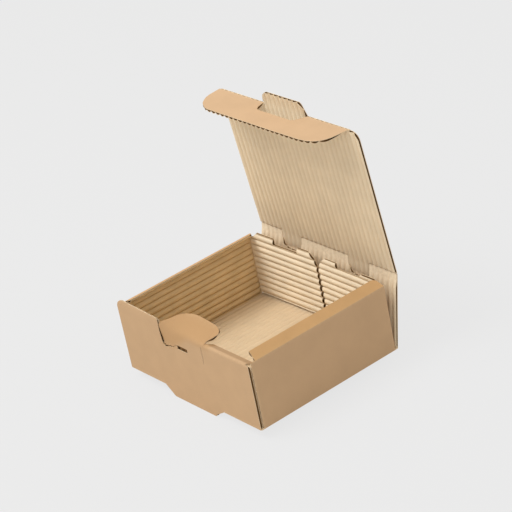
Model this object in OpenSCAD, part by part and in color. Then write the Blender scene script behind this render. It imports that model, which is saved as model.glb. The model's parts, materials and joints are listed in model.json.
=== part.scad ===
// Hinged-lid tray box folded from one sheet of single-face corrugated board.
// Smooth liner outside, open flutes inside, shown with its lid standing up.
// Millimetres. X runs along the front wall, Y goes back to the lid, Z is up.
// The origin lies under the middle of the whole box, level with its lowest point.

/* [Part] */
// Node to draw

/* [Tray] */
// Outside width, from side wall to side wall
tray_w = 190; // [176:1:206]
// Outside length, from the front wall to the end of the side walls
tray_l = 158; // [148:1:168]
// Height of the walls up to their top crease
wall_h = 65.5; // [64:0.5:67]
// Gap between the front wall's right end and the corner
front_setback = 1; // [0.2:0.2:2]
// Length of the folded strip above the side walls
side_lip_l = 10.5; // [8:0.5:11.5]
// Distance from the front wall to the front ends of those strips
side_lip_start = 9; // [8:0.5:14]
// Lean of the left side strip, from upright
side_lean_left = 66; // [40:1:68]
// Lean of the right side strip
side_lean_right = 42; // [38:1:60]
// Length of the folded strip above the front wall
front_lip_l = 10; // [8:0.5:11]
// Lean of that strip left of the tongue, from upright
front_lean_left = 4; // [3:1:20]
// Lean of that strip right of the tongue
front_lean_right = 116; // [100:1:118]
// Loss of height of the left strip towards the tongue
front_lip_drop = 2; // [0:0.5:3]
// Radius of the front strip's left corner
lip_corner_r = 10; // [4:1:10]

/* [Board] */
// Thickness over the flutes
board_t = 3; // [2.6:0.1:3.2]
// Thickness of the outer liner
liner_t = 0.6; // [0.45:0.05:0.7]
// Thickness of the fluted sheet
medium_t = 0.5; // [0.4:0.05:0.6]
// Spacing of the flutes
flute_pitch = 6.4; // [5.8:0.1:7.4]
// Length of the crushed band beside a fold
crush_w = 4; // [3.8:0.1:4.6]

/* [Tongue and front tab] */
// Width of the locking tongue where it leaves the front wall
tongue_w = 66; // [60:1:70]
// Height of the tongue above the crease
tongue_h = 22; // [20:0.5:23]
// Reach of the tongue beyond its right cut
tongue_ear = 6.5; // [3:0.5:7]
// Lean of the tongue at its right end
tongue_lean = 64; // [50:1:64]
// Height of the cut below the tongue's left lobe
lobe_z = 44.5; // [42:0.5:48]
// Length of the slot beside the lobe
slot_l = 16; // [10:1:18]
// Height of that slot
slot_h = 4; // [2.5:0.5:5]
// Distance of the slit in the tongue's neck from its right end
slit_x = 5.5; // [4:0.5:9]
// Width of the tab below the front crease
foot_tab_w = 85; // [75:1:95]
// Drop of that tab
foot_tab_h = 9; // [6:0.5:11]
// Narrowing of that tab at each side
foot_tab_taper = 13; // [6:0.5:16]

/* [Corner flaps] */
// Distance of the seam between the back flaps from the middle
seam_x = 6; // [-4:0.5:8]
// Gap between the back flaps at their seam
seam_gap = 1.2; // [0.6:0.2:3]
// Turn of the left back flap towards the back panel
flap_turn = 1.6; // [0:0.2:1.8]
// Lift of the right back flap
flap_lift = 1.3; // [0:0.1:1.4]
// Height of the back flaps where they stand tall
flap_h = 70; // [68:0.5:70]
// Depth of the notch in the back flaps under a vent
flap_notch = 6; // [4:0.5:8]
// Distance of the left notch's middle from the left wall
notch_x_left = 53.5; // [46:0.5:56]
// Distance of the right notch's middle from the right wall
notch_x_right = 45.5; // [40:0.5:52]
// Half width of both notches
notch_half_w = 17; // [13:0.5:18]
// Length of the glued front flaps
glue_flap_l = 44; // [36:1:50]

/* [Back panel and lid] */
// Length of the back panel from the floor to the lid hinge
back_l = 71.2; // [71:0.2:75]
// Backward lean of the back panel
back_lean = 11.4; // [10:0.2:13]
// Length of the lid from the hinge to the front fold
lid_l = 146.7; // [144:0.1:150]
// Forward lean of the lid
lid_lean = 6; // [3:0.5:9]
// Width of a vent tab at the lid hinge
vent_w = 27; // [22:1:30]
// Distance of a vent tab from the point between both
vent_x = 47; // [44:1:50]
// Shift of both vent tabs to the right
vent_shift = -3; // [-5:0.5:5]
// Length of a vent tab
vent_l = 18; // [12:0.5:19]
// Width of the tab standing on the front fold of the lid
stand_tab_w = 60; // [52:1:68]
// Height of that tab
stand_tab_h = 13; // [9:0.5:15]
// Narrowing of that tab at each side
stand_tab_taper = 7; // [4:0.5:12]

/* [Tuck flap] */
// Depth of the tuck flap
tuck_l = 36; // [33:0.5:37]
// Distance from the lid's right edge to the right end of the tuck flap
tuck_inset = 10; // [9:0.5:14]
// Narrowing of the tuck flap at each side
tuck_taper = 1.4; // [0.5:0.1:4]
// Radius of its left free corner
tuck_r_left = 28; // [22:1:30]
// Radius of its right free corner
tuck_r_right = 19; // [14:1:28]
// Radius of the lid's right front corner
lid_corner_r = 8; // [4:0.5:8.5]
// Dip of the tuck flap below level
tuck_dip = 0; // [-4:1:8]

/* [Fits] */
// Radius of the fold beads that carry the lid and the tuck flap
hinge_r = 0.8; // [0.7:0.05:0.9]
// Gap between a fold bead and the panel that turns on it
hinge_gap = 0.7; // [0.6:0.05:1]
// Gap beside a tab inside its cut-out
cut_gap = 0.7; // [0.5:0.1:1]
// Gap between layers of board that lie face to face
layer_gap = 0.3; // [0.2:0.05:0.5]

/* [Hidden] */
liner_colour = [0.77, 0.64, 0.48];
flute_steps = 6;
crush_t = 2 * hinge_r;
lap = 0.4;
inset = 0.2;
side_y = board_t + layer_gap;
back_y = tray_l + layer_gap + board_t;
panel_w = tray_w - 2 * layer_gap;
field_w = tray_w - 2 * (board_t + layer_gap);
flap_l_left = tray_w / 2 + seam_x - seam_gap / 2;
flap_l_right = tray_w / 2 - seam_x - seam_gap / 2;
tongue_strips = 11;
strip_w = (tongue_w + tongue_ear) / tongue_strips;
flap_foot = board_t + 1;
flap_root_h = wall_h - board_t - 1;
glue_flap_h = wall_h - front_lip_l + 2.5;
front_right = tray_w / 2 - front_setback;
fold_right = panel_w / 2 - tuck_inset;
tuck_right = fold_right - cut_gap;
axis_y = back_y + back_l * sin(back_lean) - hinge_r * cos(back_lean);
axis_z = back_l * cos(back_lean) + hinge_r * sin(back_lean);
fold_y = axis_y - lid_l * sin(lid_lean);
fold_z = axis_z + lid_l * cos(lid_lean);
rear_y = axis_y + hinge_r * cos(lid_lean) + vent_l * sin(lid_lean);

// Height of the fluted sheet's upper face, a part of a pitch along
function wave(part) = liner_t + medium_t
    + (board_t - liner_t - medium_t) * (1 - cos(360 * part)) / 2;

// Cross-section of the board, liner down, over a whole number of flutes
module section(w, hollow) {
    n = max(1, round(w / flute_pitch));
    p = w / n;
    difference() {
        polygon(concat(
            [[0, 0]],
            [for (i = [0 : n * flute_steps]) [i * p / flute_steps, wave(i / flute_steps)]],
            [[w, 0]]
        ));
        if (hollow) {
            for (i = [0 : n - 1]) {
                translate([i * p, 0]) {
                    tunnel(p);
                }
            }
        }
    }
}

// Hollow under one flute
module tunnel(p) {
    polygon([
        [0.24 * p, liner_t],
        [0.38 * p, wave(0.38) - 1.2 * medium_t],
        [0.5 * p, board_t - medium_t],
        [0.62 * p, wave(0.62) - 1.2 * medium_t],
        [0.76 * p, liner_t]
    ]);
}

// Flat board from x 0 to w across its flutes and y 0 to l along them.
// Its flutes are hollow where a cut edge can show their ends.
module board(w, l, hollow = true) {
    translate([0, l, 0]) {
        rotate([90, 0, 0]) {
            linear_extrude(l) {
                section(w, hollow);
            }
        }
    }
}

// Board centred across its flutes and trimmed to the outline of its children
module trimmed(w, y0, y1, hollow = true) {
    intersection() {
        translate([-w / 2, y0, 0]) {
            board(w, y1 - y0, hollow);
        }
        translate([0, 0, -1]) {
            linear_extrude(board_t + 2) {
                children();
            }
        }
    }
}

// Crushed board between two corners
module crushed(x0, y0, x1, y1) {
    translate([x0, y0, 0]) {
        cube([x1 - x0, y1 - y0, crush_t]);
    }
}

// Flat outline of a tab that narrows at both sides
module tab_outline(w, h, taper, root) {
    polygon([
        [-w / 2, -root], [w / 2, -root], [w / 2, 0], [w / 2 - taper, h],
        [-w / 2 + taper, h], [-w / 2, 0]
    ]);
}

// Turns a flat panel to stand with its liner at the front
module liner_front() {
    mirror([0, 1, 0]) {
        rotate([90, 0, 0]) {
            children();
        }
    }
}

// Turns a flat panel to stand with its liner at the back, leaning forward
module liner_back(lean) {
    rotate([lean, 0, 0]) {
        rotate([90, 0, 0]) {
            children();
        }
    }
}

// Turns a flat panel to stand at the right side with its liner outside
module liner_right(lean) {
    rotate([0, -90 - lean, 0]) {
        children();
    }
}

module floor_panel() {
    difference() {
        union() {
            translate([-field_w / 2, crush_w, 0]) {
                board(field_w, back_y - 2 * crush_w, false);
            }
            crushed(-tray_w / 2, side_y, -field_w / 2 + lap, back_y);
            crushed(field_w / 2 - lap, side_y, tray_w / 2, back_y);
            crushed(-tray_w / 2, 0, front_right, side_y + lap);
            crushed(-tray_w / 2, side_y, tray_w / 2, crush_w + lap);
            crushed(-tray_w / 2, back_y - crush_w - lap, tray_w / 2, back_y);
        }
        translate([0, 0, -1]) {
            linear_extrude(board_t + 2) {
                tab_outline(foot_tab_w + 2 * cut_gap, foot_tab_h + cut_gap, foot_tab_taper, 1);
            }
        }
    }
}

// Cuts in the front wall round the tongue: the lobe's edge, a slot and a slit
module tongue_cuts() {
    half = tongue_w / 2;
    gap = cut_gap;
    polygon([
        [-half, wall_h + 1], [-half, lobe_z + 9], [-half + 0.8, lobe_z + 2.5],
        [-half + 3, lobe_z + 0.3], [-half + 6, lobe_z], [-half + 10.5, lobe_z + 1.5],
        [-half + 16.5, lobe_z + 2.9], [-half + 22.5, lobe_z + 5.5],
        [-half + 22.5, lobe_z + 5.5 + 2 * gap], [-half + 16.5, lobe_z + 2.9 + gap],
        [-half + 10.5, lobe_z + 1.5 + gap], [-half + 6, lobe_z + gap],
        [-half + 3 + gap, lobe_z + 0.3 + gap], [-half + 0.8 + gap, lobe_z + 2.5 + gap],
        [-half + gap, lobe_z + 9], [-half + 1, wall_h + 1]
    ]);
    translate([-half + 22, lobe_z + 4]) {
        square([slot_l, slot_h]);
    }
    translate([half - slit_x, lobe_z]) {
        square([cut_gap, wall_h - crush_w - lobe_z]);
    }
}

module front_wall() {
    half = tongue_w / 2;
    top = wall_h - crush_w / 2;
    liner_front() {
        difference() {
            union() {
                trimmed(tray_w, -foot_tab_h, top) {
                    translate([-tray_w / 2, crush_w]) {
                        square([tray_w - front_setback, top - crush_w]);
                    }
                    mirror([0, 1]) {
                        tab_outline(foot_tab_w, foot_tab_h, foot_tab_taper, crush_w + 1);
                    }
                }
                crushed(-tray_w / 2, 0, -foot_tab_w / 2 + 1, crush_w + lap);
                crushed(foot_tab_w / 2 - 1, 0, front_right, crush_w + lap);
                crushed(-tray_w / 2, top - lap, front_right, wall_h);
            }
            translate([0, 0, -1]) {
                linear_extrude(board_t + 2) {
                    tongue_cuts();
                }
            }
        }
    }
}

// Folded strip above the front wall, between two places along it.
// Its flutes start above a crushed band and its right end can be cut short.
module front_lip(x0, x1, lean, band, short, drop) {
    translate([0, hinge_r, wall_h - hinge_r]) {
        translate([x0, 0, 0]) {
            rotate([0, 90, 0]) {
                cylinder(h = x1 - x0, r = hinge_r, $fn = 16);
            }
        }
        rotate([-lean, 0, 0]) {
            translate([0, -hinge_r, 0]) {
                liner_front() {
                    crushed(x0, 0, x1 - short, band + lap);
                    trimmed(tray_w, 0, front_lip_l + hinge_r) {
                        difference() {
                            polygon([
                                [x0, band], [x1 - short, band],
                                [x1 - short, front_lip_l + hinge_r - drop],
                                [x0, front_lip_l + hinge_r]
                            ]);
                            lip_corner();
                        }
                    }
                }
            }
        }
    }
}

// What the rounding takes off the front strip's left corner
module lip_corner() {
    translate([-tray_w / 2 - 1, front_lip_l + hinge_r - lip_corner_r + 1]) {
        difference() {
            square(lip_corner_r);
            translate([lip_corner_r + 1, -1]) {
                circle(lip_corner_r, $fn = 32);
            }
        }
    }
}

// Flat outline of the tongue above the crease
module tongue_outline() {
    half = tongue_w / 2;
    polygon([
        [-half + 1, 0], [-half + 1, 0.25 * tongue_h], [-half + 11, 0.36 * tongue_h],
        [-half + 18, 0.54 * tongue_h], [-half + 24, 0.7 * tongue_h],
        [-half + 29, 0.82 * tongue_h], [-half + 34, 0.9 * tongue_h],
        [-half + 44, tongue_h], [half - 5, 0.98 * tongue_h], [half - 1, 0.92 * tongue_h],
        [half + 0.7 * tongue_ear, 0.82 * tongue_h], [half + tongue_ear, 0.7 * tongue_h],
        [half + tongue_ear, 0.62 * tongue_h], [half + 0.5 * tongue_ear, 0.42 * tongue_h],
        [half - inset, 0.24 * tongue_h], [half - inset, 0]
    ]);
}

// Tongue twisted out of the wall, one flute at a time
module tongue() {
    for (i = [0 : tongue_strips - 1]) {
        translate([0, inset, wall_h - inset]) {
            rotate([-tongue_lean * (i + 0.5) / tongue_strips, 0, 0]) {
                liner_front() {
                    trimmed(tray_w, crush_w / 2, tongue_h) {
                        tongue_strip(i, tongue_h);
                    }
                    linear_extrude(crush_t) {
                        tongue_strip(i, crush_w / 2 + lap);
                    }
                }
            }
        }
    }
}

// Flat outline of the tongue within one flute's width, up to a height
module tongue_strip(i, h) {
    intersection() {
        tongue_outline();
        translate([-tongue_w / 2 + i * strip_w - 0.1, 0]) {
            square([strip_w + 0.2, h]);
        }
    }
}

// Right side wall with its folded strip and both of its end flaps
module side_wall(lean, flap_l, turn, lift, notch_x) {
    top = wall_h - crush_w / 2;
    translate([tray_w / 2, 0, 0]) {
        liner_right(0) {
            translate([crush_w, side_y + lap, 0]) {
                board(top - crush_w, tray_l - side_y - 2 * lap, false);
            }
            crushed(0, side_y, crush_w + lap, tray_l);
            crushed(top - lap, side_y, wall_h, tray_l);
            crushed(0, side_y, wall_h, side_y + crush_w);
            crushed(0, tray_l - crush_w, wall_h, tray_l);
        }
        translate([-inset, 0, wall_h - inset]) {
            liner_right(lean) {
                crushed(0, side_lip_start, crush_w / 2 + lap, tray_l - inset);
                translate([crush_w / 2, side_lip_start, 0]) {
                    board(side_lip_l - crush_w / 2, tray_l - inset - side_lip_start);
                }
            }
        }
        translate([0, tray_l, 0]) {
            rotate([0, 0, -turn]) {
                back_flap(flap_l, lift, notch_x);
            }
        }
        glue_flap();
    }
}

// Flap folded in front of the back panel, tall beside its notch
module back_flap(l, lift, notch_x) {
    low = flap_h - flap_notch;
    notch_0 = notch_x - notch_half_w;
    notch_1 = notch_x + notch_half_w;
    reach = side_lip_l;
    translate([0, 0, lift]) {
        rotate([0, -90, 0]) {
            rotate([90, 0, 0]) {
                crushed(flap_foot, 0, flap_root_h - lift, crush_w + lap);
                intersection() {
                    translate([flap_foot, crush_w, 0]) {
                        board(flap_h - flap_foot, l - crush_w);
                    }
                    translate([0, 0, -1]) {
                        linear_extrude(board_t + 2) {
                            polygon([
                                [flap_foot, 0], [flap_foot + 4, l], [low - 6, l],
                                [low + 1, l - 3.5], [low + 4, l - 7], [flap_h, l - 10],
                                [flap_h, notch_1 + 1], [low, notch_1], [low, notch_0],
                                [flap_h, notch_0 - 1], [flap_h, reach + 1.5],
                                [flap_root_h - lift, reach - 1], [flap_root_h - lift, 0]
                            ]);
                        }
                    }
                }
            }
        }
    }
}

// Narrow flap behind the front wall
module glue_flap() {
    translate([0, side_y, 0]) {
        mirror([0, 1, 0]) {
            rotate([0, -90, 0]) {
                rotate([90, 0, 0]) {
                    crushed(flap_foot, 0, glue_flap_h, crush_w + lap);
                    intersection() {
                        translate([flap_foot, crush_w, 0]) {
                            board(glue_flap_h - flap_foot, glue_flap_l - crush_w, false);
                        }
                        translate([0, 0, -1]) {
                            linear_extrude(board_t + 2) {
                                polygon([
                                    [flap_foot, 0], [flap_foot + 6, glue_flap_l],
                                    [glue_flap_h - 8, glue_flap_l], [glue_flap_h, 0]
                                ]);
                            }
                        }
                    }
                }
            }
        }
    }
}

// Outline of both vents beside the hinge line, grown by a gap
module vents(l, gap) {
    for (s = [-1, 1]) {
        translate([s * vent_x + vent_shift, 0]) {
            polygon([
                [-vent_w / 2 - gap, crush_w + lap], [-vent_w / 2 - gap, -l + 4],
                [-vent_w / 2 + 2 - gap, -l + 1], [-vent_w / 2 + 5 - gap, -l],
                [vent_w / 2 - 5 + gap, -l], [vent_w / 2 - 2 + gap, -l + 1],
                [vent_w / 2 + gap, -l + 4], [vent_w / 2 + gap, crush_w + lap]
            ]);
        }
    }
}

// Fold bead along X at the top edge of a panel
module bead(w) {
    translate([-w / 2, 0, hinge_r]) {
        rotate([0, 90, 0]) {
            cylinder(h = w, r = hinge_r, $fn = 16);
        }
    }
}

module back_panel() {
    translate([0, back_y, 0]) {
        liner_back(-back_lean) {
            difference() {
                union() {
                    trimmed(panel_w, crush_w, back_l - crush_w, false) {
                        square([tray_w, 2 * back_l], center = true);
                    }
                    crushed(-panel_w / 2, 0, panel_w / 2, crush_w + lap);
                    crushed(-panel_w / 2, back_l - crush_w - lap, panel_w / 2, back_l);
                    translate([0, back_l, 0]) {
                        bead(panel_w);
                    }
                }
                translate([0, back_l, -1]) {
                    linear_extrude(board_t + 2) {
                        vents(vent_l + cut_gap, cut_gap);
                    }
                }
            }
        }
    }
}

module tray() {
    color(liner_colour) {
        place() {
            floor_panel();
            front_wall();
            front_lip(-tray_w / 2 + inset, -tongue_w / 2 - inset, front_lean_left,
                crush_w / 2, 0, front_lip_drop);
            front_lip(tongue_w / 2 + cut_gap, front_right - inset, front_lean_right,
                crush_w, side_y, 0);
            tongue();
            side_wall(side_lean_right, flap_l_right, 0, flap_lift, notch_x_right);
            mirror([1, 0, 0]) {
                side_wall(side_lean_left, flap_l_left, flap_turn, 0, notch_x_left);
            }
            back_panel();
        }
    }
}

module lid() {
    start = hinge_r + hinge_gap;
    color(liner_colour) {
        place() {
            translate([0, axis_y, axis_z]) {
                liner_back(lid_lean) {
                    translate([0, 0, -hinge_r]) {
                        trimmed(panel_w, -vent_l, lid_l + stand_tab_h) {
                            lid_outline();
                            vents(vent_l, 0);
                            translate([0, lid_l]) {
                                tab_outline(
                                    stand_tab_w, stand_tab_h, stand_tab_taper, crush_w + lap);
                            }
                        }
                        lid_crease(start);
                        crushed(-panel_w / 2, lid_l - crush_w - lap, fold_right, lid_l);
                        translate([-tuck_inset / 2, lid_l, 0]) {
                            bead(panel_w - tuck_inset);
                        }
                    }
                }
            }
        }
    }
}

// Flat outline of the lid's fluted part, with its rounded right front corner
module lid_outline() {
    difference() {
        translate([-panel_w / 2, crush_w]) {
            square([panel_w, lid_l - crush_w - inset]);
        }
        translate([-panel_w / 2 - 1, lid_l - crush_w]) {
            square([fold_right + panel_w / 2 + 1, crush_w + 1]);
        }
        translate([panel_w / 2 - lid_corner_r, lid_l - inset - lid_corner_r]) {
            difference() {
                square(lid_corner_r + 1);
                circle(lid_corner_r, $fn = 40);
            }
        }
    }
}

// Crushed band of the lid above the hinge
module lid_crease(start) {
    crushed(-panel_w / 2, start, panel_w / 2, crush_w + lap);
}

module tuck_flap() {
    start = hinge_r + hinge_gap;
    color(liner_colour) {
        place() {
            translate([0, fold_y, fold_z]) {
                liner_back(90 + tuck_dip) {
                    translate([0, 0, -hinge_r]) {
                        difference() {
                            union() {
                                trimmed(panel_w, crush_w, tuck_l + 1) {
                                    tuck_outline();
                                }
                                crushed(-panel_w / 2 + cut_gap, start,
                                    tuck_right, crush_w + lap);
                            }
                            translate([0, 0, -1]) {
                                linear_extrude(board_t + 2) {
                                    tab_outline(
                                        stand_tab_w + 2 * cut_gap, stand_tab_h + cut_gap,
                                        stand_tab_taper, 1);
                                }
                            }
                        }
                    }
                }
            }
        }
    }
}

// Flat outline of the tuck flap with its rounded free corners
module tuck_outline() {
    left = panel_w / 2 - tuck_taper;
    right = tuck_right - tuck_taper;
    r = tuck_r_left;
    q = tuck_r_right;
    polygon(concat(
        [[-panel_w / 2 + cut_gap, 0]],
        [for (a = [0 : 15 : 90]) [-left + r - r * cos(a), tuck_l - r + r * sin(a)]],
        [for (a = [90 : -15 : 0]) [right - q + q * cos(a), tuck_l - q + q * sin(a)]],
        [[tuck_right, 0]]
    ));
}

// Moves the box so that the origin is under its middle
module place() {
    translate([0, -rear_y / 2, foot_tab_h]) {
        children();
    }
}

tray();
lid();
tuck_flap();
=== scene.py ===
"""Hinged-lid tray box of single-face corrugated board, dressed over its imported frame."""

import json
import logging
import math
from collections.abc import Callable
from dataclasses import dataclass, field
from enum import Enum

import bmesh
import bpy
from mathutils import Matrix, Vector, noise


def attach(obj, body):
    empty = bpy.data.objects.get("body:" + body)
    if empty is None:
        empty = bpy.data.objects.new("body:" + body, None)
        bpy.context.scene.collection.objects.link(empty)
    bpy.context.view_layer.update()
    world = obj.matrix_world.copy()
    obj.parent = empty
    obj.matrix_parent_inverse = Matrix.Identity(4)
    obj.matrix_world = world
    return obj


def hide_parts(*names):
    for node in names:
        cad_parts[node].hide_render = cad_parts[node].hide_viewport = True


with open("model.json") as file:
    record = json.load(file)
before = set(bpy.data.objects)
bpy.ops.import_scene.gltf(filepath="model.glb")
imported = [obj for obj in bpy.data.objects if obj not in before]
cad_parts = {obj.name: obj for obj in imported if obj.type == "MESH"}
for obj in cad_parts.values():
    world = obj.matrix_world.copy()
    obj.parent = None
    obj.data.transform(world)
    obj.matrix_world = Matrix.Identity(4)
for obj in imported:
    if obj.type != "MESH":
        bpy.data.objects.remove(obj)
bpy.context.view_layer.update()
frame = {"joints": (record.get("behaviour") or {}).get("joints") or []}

LOG = logging.getLogger("box")
MM = 0.001
SAME_PLACE = 0.12
Colour = tuple[float, float, float]
Position = tuple[float, float, float]
Line = list[tuple[float, float]]
Height = Callable[[float], float]
Depth = Callable[[float, float, float], float]
Fold = Callable[[float, float, float], Position]


class Side(Enum):
    """Left or right wall, with the sign of its x."""

    LEFT = -1
    RIGHT = 1


class Face(Enum):
    """Material slot of a face on a board piece."""

    LINER = 0
    FLUTES = 1
    CUT = 2
    PANEL_FLUTES = 3
    WALL_FLUTES = 4
    # Painted shade: the dark finish of the hollows under the flutes.
    HOLLOW = 5
    # Painted light: a brighter, more orange copy of the liner on the side strips.
    LIP = 6
    # Painted light: a brighter, paler copy of the liner on the tuck flap.
    TUCK = 7
    FLOOR_FLUTES = 8


@dataclass(frozen=True)
class Sizes:
    """Sizes of the box in millimetres, from its front wall and the floor's underside."""

    tray_w: float = 190.0
    tray_l: float = 158.0
    wall_h: float = 65.5
    setback: float = 1.0
    side_lip: float = 10.5
    side_start: float = 9.0
    front_lip: float = 10.0
    left_lean: float = 4.0
    right_lean: float = 116.0
    tongue_half: float = 33.0
    tongue_ear: float = 6.5
    tongue_lean: float = 63.6
    foot_h: float = 9.0
    back_l: float = 71.2
    back_lean: float = 11.4
    lid_l: float = 146.7
    lid_lean: float = 6.0
    panel_w: float = 189.4
    fold_right: float = 84.7
    vent_mids: tuple[float, float] = (-50.0, 44.0)
    vent_w: float = 27.0
    vent_l: float = 16.5
    bead_r: float = 0.8
    tuck_l: float = 36.0
    tab_h: float = 13.0
    layer: float = 3.3
    fold_gap: float = 1.0
    hinge_lap: float = 0.25

    @property
    def side_y(self) -> float:
        """Front end of the side walls, one board behind the front wall's face."""
        return self.layer

    @property
    def back_y(self) -> float:
        """Foot of the back panel's outer face, one board behind the back flaps."""
        return self.tray_l + self.layer

    @property
    def hinge_y(self) -> float:
        """Distance of the lid hinge behind the front wall's face."""
        lean = math.radians(self.back_lean)
        return self.back_y + self.back_l * math.sin(lean) - self.bead_r * math.cos(lean)


@dataclass(frozen=True)
class Board:
    """Single-face corrugated board: a smooth liner with a fluted sheet on it.

    Lengths are in millimetres. A lower power makes flatter crests and narrower grooves, uneven
    is how much the crests differ, and pressed is the part of the rise left in a crushed band.
    """

    pitch: float = 6.4
    liner: float = 0.5
    sheet: float = 0.42
    depth: float = 2.95
    shift: float = 0.0
    steps: int = 10
    power: float = 0.8
    uneven: float = 0.07
    pressed: float = 0.24
    pressed_uneven: float = 0.1
    glued_in: float = 0.2

    def crest(self, u: float) -> float:
        """Rise of the fluted sheet at u, 0 in a valley and 1 on a crest.

        Args:
            u: Place across the flutes, in millimetres.

        Returns:
            The rise as a part of the full depth.
        """
        return abs(math.sin(math.pi * (u - self.shift) / self.pitch)) ** self.power

    def stations(self, start: float, end: float) -> list[float]:
        """Places across the flutes where the fluted sheet has a vertex.

        Args:
            start: First place.
            end: Last place.

        Returns:
            The places in order, both ends included.
        """
        gap = self.pitch / self.steps
        lead = self.shift % gap
        first = math.ceil((start - lead) / gap + 0.2)
        last = math.floor((end - lead) / gap - 0.2)
        return [start, *(k * gap + lead for k in range(first, last + 1)), end]

    def columns(self, start: float, end: float, marks: list[float]) -> list[float]:
        """Flute stations with the outline's corners added.

        Args:
            start: First place.
            end: Last place.
            marks: Corners of the outline.

        Returns:
            The places in order.
        """
        firm = {start, end, *marks}
        kept: list[float] = []
        for u in sorted({*self.stations(start, end), *firm}):
            if not start <= u <= end:
                continue
            if u in firm or all(abs(u - mark) > SAME_PLACE for mark in firm):
                kept.append(u)
        return kept


@dataclass(frozen=True)
class Hole:
    """A straight-sided hole in a flat cut of board, through the liner or through both sheets."""

    u0: float
    u1: float
    v0: float
    v1: float
    through: bool = True

    def holds(self, u: float, v: float) -> bool:
        """Whether a place lies inside the hole."""
        return self.u0 < u < self.u1 and self.v0 < v < self.v1


@dataclass(frozen=True)
class Band:
    """A crushed band across or along the flutes, at a fold."""

    at: float
    half: float
    across: bool

    def crush(self, u: float, v: float) -> float:
        """How far the flutes are pressed flat there, from 0 to 1.

        Args:
            u: Place across the flutes.
            v: Place along the flutes.

        Returns:
            1 on the fold, falling to 0 beside it.
        """
        flat_part = 0.45
        away = abs((u if self.across else v) - self.at) / self.half
        return max(0.0, 1.0 - max(0.0, away - flat_part) / (1.0 - flat_part))


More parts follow.
